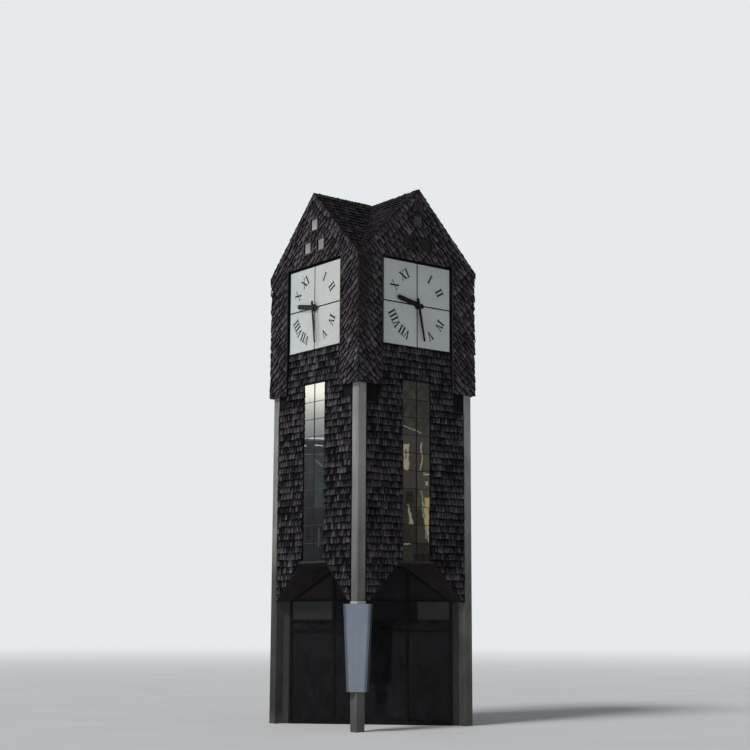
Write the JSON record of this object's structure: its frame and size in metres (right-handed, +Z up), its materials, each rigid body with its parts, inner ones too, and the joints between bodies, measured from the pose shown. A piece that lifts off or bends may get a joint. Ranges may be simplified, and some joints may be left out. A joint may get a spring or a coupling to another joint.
{
  "type": "clock tower",
  "caption": "Clock tower on corner columns with shingled walls, tall windows, square dials, a cross-gabled roof and a glazed screen across its open porch.",
  "frame": {"origin": "on the ground at the middle between the corner columns; the box of the whole part is centred 0.08 m from there, because the sign box stands out at the front left corner", "axes": "+Z up; the front dial faces -Y, the left dial -X; the sign box is on the front left column"},
  "size_m": [4.4759, 4.4759, 15.077],
  "materials": {
    "columns": "cast concrete, pale and weathered",
    "wall_shingles": "dark stained shingles, weathered",
    "roof_shingles": "weathered roof shingles with moss",
    "ridge_shingles": "mossy ridge shingles",
    "soffit_boards": "brown stained boards",
    "window_metal": "dark paint, satin",
    "gable_frames": "weathered paint",
    "panes": "dark tinted glass",
    "dial_panels": "white gloss sheet",
    "hand_metal": "black paint, semi-gloss",
    "screen_metal": "dark paint, satin",
    "fascia_boards": "painted boards",
    "sign_case": "white paint, gloss"
  },
  "bodies": {
    "tower": {"front_left_column": "columns", "front_right_column": "columns", "back_right_column": "columns", "back_left_column": "columns", "front_wall": "wall_shingles", "right_wall": "wall_shingles", "back_wall": "wall_shingles", "left_wall": "wall_shingles", "front_window": "window_metal", "right_window": "window_metal", "back_window": "window_metal", "left_window": "window_metal", "tall_window_glass": "panes", "soffit_linings": "soffit_boards", "porch_ceiling": "soffit_boards", "front_left_box": "wall_shingles", "front_right_box": "wall_shingles", "back_right_box": "wall_shingles", "back_left_box": "wall_shingles", "front_gable": "wall_shingles", "right_gable": "wall_shingles", "back_gable": "wall_shingles", "left_gable": "wall_shingles", "gable_window_frames": "gable_frames", "gable_window_glass": "panes", "front_roof": "roof_shingles", "right_roof": "roof_shingles", "back_roof": "roof_shingles", "left_roof": "roof_shingles", "ridge_caps": "ridge_shingles", "front_dial": "dial_panels", "right_dial": "dial_panels", "back_dial": "dial_panels", "left_dial": "dial_panels", "screen_frame": "screen_metal", "screen_glass": "panes", "screen_boards": "fascia_boards", "sign_box": "sign_case"},
    "front_minute_hand": {"front_minute_hand": "hand_metal"},
    "front_hour_hand": {"front_hour_hand": "hand_metal"},
    "right_minute_hand": {"right_minute_hand": "hand_metal"},
    "right_hour_hand": {"right_hour_hand": "hand_metal"},
    "back_minute_hand": {"back_minute_hand": "hand_metal"},
    "back_hour_hand": {"back_hour_hand": "hand_metal"},
    "left_minute_hand": {"left_minute_hand": "hand_metal"},
    "left_hour_hand": {"left_hour_hand": "hand_metal"}
  },
  "joints": [
    {"name": "front_minute_spin", "type": "hinge", "parent": "tower", "child": "front_minute_hand", "pos_m": [0, -2.1, 11.663], "axis": [0, 1, 0], "continuous": true},
    {"name": "front_hour_spin", "type": "hinge", "parent": "tower", "child": "front_hour_hand", "pos_m": [0, -2.1, 11.663], "axis": [0, 1, 0], "continuous": true},
    {"name": "right_minute_spin", "type": "hinge", "parent": "tower", "child": "right_minute_hand", "pos_m": [2.1, 0, 11.663], "axis": [-1, 0, 0], "continuous": true},
    {"name": "right_hour_spin", "type": "hinge", "parent": "tower", "child": "right_hour_hand", "pos_m": [2.1, 0, 11.663], "axis": [-1, 0, 0], "continuous": true},
    {"name": "back_minute_spin", "type": "hinge", "parent": "tower", "child": "back_minute_hand", "pos_m": [0, 2.1, 11.663], "axis": [0, -1, 0], "continuous": true},
    {"name": "back_hour_spin", "type": "hinge", "parent": "tower", "child": "back_hour_hand", "pos_m": [0, 2.1, 11.663], "axis": [0, -1, 0], "continuous": true},
    {"name": "left_minute_spin", "type": "hinge", "parent": "tower", "child": "left_minute_hand", "pos_m": [-2.1, 0, 11.663], "axis": [1, 0, 0], "continuous": true},
    {"name": "left_hour_spin", "type": "hinge", "parent": "tower", "child": "left_hour_hand", "pos_m": [-2.1, 0, 11.663], "axis": [1, 0, 0], "continuous": true}
  ],
  "couplings": [
    {"joint": "front_hour_spin", "follows": "front_minute_spin", "ratio": 0.083333},
    {"joint": "right_hour_spin", "follows": "right_minute_spin", "ratio": 0.083333},
    {"joint": "back_hour_spin", "follows": "back_minute_spin", "ratio": 0.083333},
    {"joint": "left_hour_spin", "follows": "left_minute_spin", "ratio": 0.083333}
  ]
}
